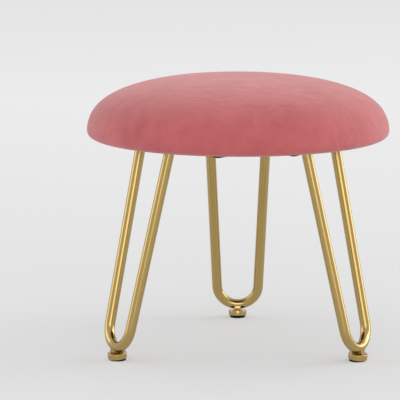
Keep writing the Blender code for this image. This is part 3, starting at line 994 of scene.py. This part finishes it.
def mounting_plate():
    """Flat steel plate with rounded corners, broken edges and four screw holes."""
    plate = rounded_block("mounting_plate", plate_low, plate_high, PLATE_CORNER)
    break_edges(plate, PLATE_EDGE)
    depth = 4 * (plate_high.z - plate_low.z)
    for number in range(1, SCREWS_A_PLATE + 1):
        at = (*screw_place(f"plate_screw_rear_{number}"), plate_low.z)
        cut_away(plate, upright_hole(HOLE_SIDES, SCREW_HOLE_DIAMETER, depth, at))
    close_up(plate)
    lay_grain(plate, lambda point: Vector((point.y, point.z, point.x * GRAIN_RUN)))
    give(plate, BRASS)
    return plate


SCREW_SIDES = 48
SCREW_SEED = 3
SCREW_DIAMETER = 0.006
SCREW_TIP = 0.0008
HEAD_RIM = 0.0008
HEAD_STEPS = 8
HEAD_FLAT = 0.006
SOCKET_ACROSS_FLATS = 0.004
SOCKET_DEPTH = 0.0021


def button_screw():
    """Button-head screw with a hexagon socket, head down, standing at the middle of the stool."""
    head_radius = (screw_high.x - screw_low.x) / 2
    head_top = rod_end_height
    shank_radius = SCREW_DIAMETER / 2
    crown = (
        (HEAD_FLAT / 2, screw_low.z),
        ((head_radius + HEAD_FLAT / 2) / 2, screw_low.z),
        (head_radius, (screw_low.z + head_top - HEAD_RIM) / 2),
        (head_radius, head_top - HEAD_RIM),
    )
    rings = [tuple(bezier(crown, i / HEAD_STEPS)) for i in range(HEAD_STEPS + 1)]
    rings += [(head_radius, head_top), (shank_radius, head_top)]
    rings += [(shank_radius, screw_high.z - SCREW_TIP), (shank_radius - SCREW_TIP, screw_high.z)]
    screw = turned_piece("button_screw", rings, SCREW_SIDES)
    clear_selection()
    bpy.ops.mesh.primitive_cylinder_add(
        vertices=6,
        radius=SOCKET_ACROSS_FLATS / 2 / math.cos(math.pi / 6),
        depth=2 * SOCKET_DEPTH,
        location=(0, 0, screw_low.z),
    )
    cut_away(screw, named("hexagon_socket"))
    close_up(screw)
    give(screw, ZINC)
    return screw


FOOT_SIDES = 64
FOOT_GAP = 0.0003
DISC_RADIUS = 0.0119
DISC_EDGE = 0.0008
PAD_RADIUS = 0.01025
PAD_EDGE = 0.0005
PAD_FOOT_EDGE = 0.0003
PAD_BOSS_RADIUS = 0.004
PAD_BOSS_HEIGHT = 0.0024
PAD_BOSS_EDGE = 0.0004
COLLAR_WIDTH = 0.0084
COLLAR_DEPTH = 0.01407
COLLAR_CORNER = 0.0008
COLLAR_EDGE = 0.0003
SPIGOT_RADIUS = 0.0025
SPIGOT_LENGTH = 0.0022
STUD_RADIUS = 0.003
STUD_TIP = 0.0008
THREAD_PITCH = 0.001
THREAD_DEPTH = 0.00055
THREAD_STEEPNESS = 2.6
THREAD_ROOT = 0.15
THREAD_RINGS_A_PITCH = 10
STUD_TIP_SHARE = 0.8
SPIGOT_SPARE = 0.0001
OVERSHOOT = 0.002
AT_THE_FLOOR = 0.00001


def turned_grain(point):
    """Brush lines that run round a piece turned upright at the middle of the stool."""
    return Vector((point.xy.length, point.z, 0))


def saddle_collar():
    """Block welded under the bend, across the rod: coped to fit it, bored for the stud, its edges broken."""
    corner = Vector((COLLAR_WIDTH / 2, COLLAR_DEPTH / 2, 0))
    foot, top = Vector((0, 0, COLLAR_BASE)), Vector((0, 0, COLLAR_TOP))
    collar = rounded_block("saddle_collar", foot - corner, top + corner, COLLAR_CORNER)
    break_edges(collar, COLLAR_EDGE)
    stand(collar)
    cut_away(collar, bent_bar("saddle", rod_radius + WELD_CLEARANCE))
    cut_away(collar, stud_hole(COLLAR_BASE - OVERSHOOT, COLLAR_TOP))
    close_up(collar)
    lay_grain(collar, lambda point: Vector(((point - bend_bottom).dot(foot_axis), 0, 0)))
    give(collar, BRASS)
    return collar


def levelling_disc():
    """Turned disc with rounded edges, a socket on top for the stud and one below for the glide's boss."""
    boss_radius = PAD_BOSS_RADIUS + FOOT_GAP
    boss_ceiling = PAD_TOP + PAD_BOSS_HEIGHT + FOOT_GAP
    socket_radius = SPIGOT_RADIUS + FOOT_GAP
    socket_floor = COLLAR_BASE - SPIGOT_LENGTH - FOOT_GAP
    rings = [(boss_radius, boss_ceiling), (boss_radius, DISC_BASE)]
    rings += arc((DISC_RADIUS - DISC_EDGE, DISC_BASE + DISC_EDGE), DISC_EDGE, -90, 0)
    rings += arc((DISC_RADIUS - DISC_EDGE, DISC_TOP - DISC_EDGE), DISC_EDGE, 0, 90)
    rings += [(socket_radius, DISC_TOP), (socket_radius, socket_floor)]
    disc = turned_piece("levelling_disc", rings, FOOT_SIDES)
    lay_grain(disc, turned_grain)
    give(disc, BRASS)
    return stand(disc)


def levelling_stud():
    """Stud with a spigot in the disc and a cut thread up through the collar into the rod."""
    thread_length = STUD_TOP - COLLAR_BASE
    thread_rings = round(thread_length / THREAD_PITCH * THREAD_RINGS_A_PITCH)
    rings = [(SPIGOT_RADIUS, COLLAR_BASE - SPIGOT_LENGTH), (SPIGOT_RADIUS, COLLAR_BASE)]
    rings += [(STUD_RADIUS, COLLAR_BASE + thread_length * i / thread_rings) for i in range(thread_rings + 1)]
    stud = turned_piece("levelling_stud", rings, FOOT_SIDES)

    def threaded(point):
        """Sinks the groove of the thread and tapers the tip."""
        if point.z < COLLAR_BASE or point.xy.length < SPIGOT_RADIUS + SPIGOT_SPARE:
            return point
        turn = math.atan2(point.y, point.x) / (2 * math.pi)
        phase = ((point.z - COLLAR_BASE) / THREAD_PITCH - turn) % 1
        crest = min(max(abs(phase - 0.5) * THREAD_STEEPNESS - THREAD_ROOT, 0), 1)
        tip = min(max((STUD_TOP - point.z) / STUD_TIP, 0), 1)
        radius = STUD_RADIUS - THREAD_DEPTH * (1 - crest)
        radius *= STUD_TIP_SHARE + (1 - STUD_TIP_SHARE) * tip
        return Vector((*(point.xy * (radius / point.xy.length)), point.z))

    move_points(stud, threaded)
    close_up(stud)
    lay_grain(stud, turned_grain)
    give(stud, BRASS)
    return stand(stud)


def foot_glide():
    """Round rubber glide under the canted disc, cut level at the floor. The disc turns on its boss."""
    boss_top = PAD_TOP + PAD_BOSS_HEIGHT
    rings = [(PAD_RADIUS, -OVERSHOOT)]
    rings += arc((PAD_RADIUS - PAD_EDGE, PAD_TOP - PAD_EDGE), PAD_EDGE, 0, 90)
    rings += [(PAD_BOSS_RADIUS, PAD_TOP), (PAD_BOSS_RADIUS, boss_top - PAD_BOSS_EDGE)]
    rings.append((PAD_BOSS_RADIUS - PAD_BOSS_EDGE, boss_top))
    glide = stand(turned_piece("foot_glide", rings, FOOT_SIDES))
    edit(glide)
    bpy.ops.mesh.bisect(plane_co=(0, 0, 0), plane_no=(0, 0, 1), use_fill=True, clear_inner=True)
    pick(glide, "EDGE", lambda middle, normal: middle.z < AT_THE_FLOOR)
    bpy.ops.mesh.bevel(offset=PAD_FOOT_EDGE, segments=2, affect="EDGES")
    close_up(glide)
    give(glide, RUBBER)
    return glide


def put_on_legs(piece, stem, node, body):
    """The rear leg's piece and its copies on the other legs, each standing for its node on its body."""
    for side, obj in for_each_leg(piece, stem).items():
        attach(obj, body.format(side=side))
        if node:
            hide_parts(f"{node}_{side}")


put_on_legs(hairpin_rod(), "hairpin_rod", "hairpin", "stool")
put_on_legs(weld_beads(), "rod_welds", None, "stool")
put_on_legs(mounting_plate(), "mounting_plate", "leg_plate", "stool")
put_on_legs(saddle_collar(), "saddle_collar", "foot_collar", "stool")
put_on_legs(levelling_disc(), "levelling_disc", "foot_disc", "foot_{side}")
put_on_legs(levelling_stud(), "levelling_stud", "foot_stud", "foot_{side}")
put_on_legs(foot_glide(), "foot_glide", "foot_pad", "glide_{side}")


def fit_screws():
    """Copies of one screw in all the plates, each turned its own way, and zinc on the nuts above them."""
    pattern = button_screw()
    draw = random.Random(SCREW_SEED)
    for side in TURNS:
        for number in range(1, SCREWS_A_PLATE + 1):
            screw = bpy.data.objects.new(f"button_screw_{side}_{number}", pattern.data.copy())
            bpy.context.scene.collection.objects.link(screw)
            place = Matrix.Translation((*screw_place(f"plate_screw_{side}_{number}"), 0))
            screw.data.transform(place @ Matrix.Rotation(draw.uniform(0, math.pi), 4, "Z"))
            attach(screw, "stool")
            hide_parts(f"plate_screw_{side}_{number}")
            frame["nodes"][f"tee_nut_{side}_{number}"].material_slots[0].material = ZINC
    bpy.data.objects.remove(pattern, do_unlink=True)


fit_screws()
frame["nodes"]["seat_board"].material_slots[0].material = PLYWOOD

# Stage, light and camera

FLOOR_SIZE = 24.0
# Share of the floor's tone that it shows by itself, which keeps its shadows faint.
FLOOR_GLOW = 0.48
# Between these distances behind the stool the floor turns paler.
FLOOR_NEAR = 0.5
FLOOR_FAR = 2.5


def seen_ray(tree):
    """1 where a surface is seen, directly or in a reflection, and 0 where it only lights another surface."""
    path = add(tree, "LightPath")
    seen = path.outputs["Is Camera Ray"]
    for kind in ("Is Glossy Ray", "Is Transmission Ray"):
        seen = add(tree, "Math", {"operation": "MAXIMUM"}, {0: seen, 1: path.outputs[kind]}).outputs[0]
    return seen


def pale_floor():
    """Matt pale grey studio floor that shows only from above: paler far away, and with faint shadows."""
    made, tree, shader = new_finish("matt_grey_studio_floor", Roughness=0.9)
    shader.inputs["Specular IOR Level"].default_value = 0.1
    place = add(tree, "SeparateXYZ", inputs={0: add(tree, "TexCoord").outputs["Object"]})
    away = add(tree, "MapRange", inputs={0: place.outputs["Y"], 1: FLOOR_NEAR, 2: FLOOR_FAR})
    colour = add(
        tree,
        "Mix",
        {"data_type": "RGBA"},
        {0: away.outputs[0], 6: linear("#DEDEDE"), 7: linear("#E9E9E9")},
    )
    tree.links.new(colour.outputs[2], shader.inputs["Base Color"])
    pale = add(tree, "Emission", inputs={"Color": colour.outputs[2]})
    share = add(tree, "Math", {"operation": "MULTIPLY"}, {0: seen_ray(tree), 1: FLOOR_GLOW})
    bright = add(tree, "MixShader", inputs={0: share.outputs[0], 1: shader.outputs[0], 2: pale.outputs[0]})
    clear = add(tree, "BsdfTransparent")
    below = add(tree, "NewGeometry").outputs["Backfacing"]
    shown = add(tree, "MixShader", inputs={0: below, 1: bright.outputs[0], 2: clear.outputs[0]})
    tree.links.new(shown.outputs[0], tree.nodes["Material Output"].inputs["Surface"])
    return made


clear_selection()
bpy.ops.mesh.primitive_plane_add(size=FLOOR_SIZE)
floor = named("studio_floor")
give(floor, pale_floor())


def studio_walls():
    """White walls that light the stool evenly, and that show as pale grey to the eye and in metal."""
    world = bpy.data.worlds.new("pale_studio")
    bpy.context.scene.world = world
    world.use_nodes = True
    tree = world.node_tree
    tone = add(
        tree,
        "Mix",
        {"data_type": "RGBA"},
        {0: seen_ray(tree), 6: linear("#F2F2F2"), 7: linear("#E6E6E6")},
    )
    tree.links.new(tone.outputs[2], tree.nodes["Background"].inputs["Color"])


studio_walls()

AIM_HEIGHT = 0.2
GRID_SPREAD = math.radians(90)


def softbox(name, azimuth, elevation, distance, width, height, power):
    """A soft light aimed at the stool, with a grid that keeps it off the floor under itself. Azimuth 0 is
    behind the camera, and 90 is on the right."""
    data = bpy.data.lights.new(name, "AREA")
    data.shape = "RECTANGLE"
    data.size = width
    data.size_y = height
    data.energy = power
    data.spread = GRID_SPREAD
    light = bpy.data.objects.new(name, data)
    bpy.context.scene.collection.objects.link(light)
    a, e = math.radians(azimuth), math.radians(elevation)
    away = Vector((math.sin(a) * math.cos(e), -math.cos(a) * math.cos(e), math.sin(e)))
    light.location = Vector((0, 0, AIM_HEIGHT)) + away * distance
    light.rotation_euler = away.to_track_quat("Z", "Y").to_euler()
    light.visible_camera = False


softbox("key_softbox", azimuth=92, elevation=34, distance=7.0, width=3.0, height=3.0, power=22)
softbox("right_softbox", azimuth=110, elevation=14, distance=6.0, width=5.25, height=3.2, power=31)
softbox("left_softbox", azimuth=-95, elevation=21, distance=6.0, width=4.0, height=5.0, power=22)
softbox("front_softbox", azimuth=4, elevation=13.8, distance=6.0, width=3.6, height=3.3, power=15.5)

CAMERA_PLACE = (0, -3.0618, 0.6925)
CAMERA_DIP = math.radians(9.370)
CAMERA_TURN = math.radians(0.895)
SENSOR_WIDTH = 36
LENS = 220.98
camera_data = bpy.data.cameras.new("photo_camera")
camera_data.sensor_width = SENSOR_WIDTH
camera_data.lens = LENS
camera = bpy.data.objects.new("photo_camera", camera_data)
bpy.context.scene.collection.objects.link(camera)
camera.location = CAMERA_PLACE
camera.rotation_euler = (math.pi / 2 - CAMERA_DIP, 0, CAMERA_TURN)
bpy.context.scene.camera = camera
bpy.context.scene.view_settings.view_transform = "Standard"
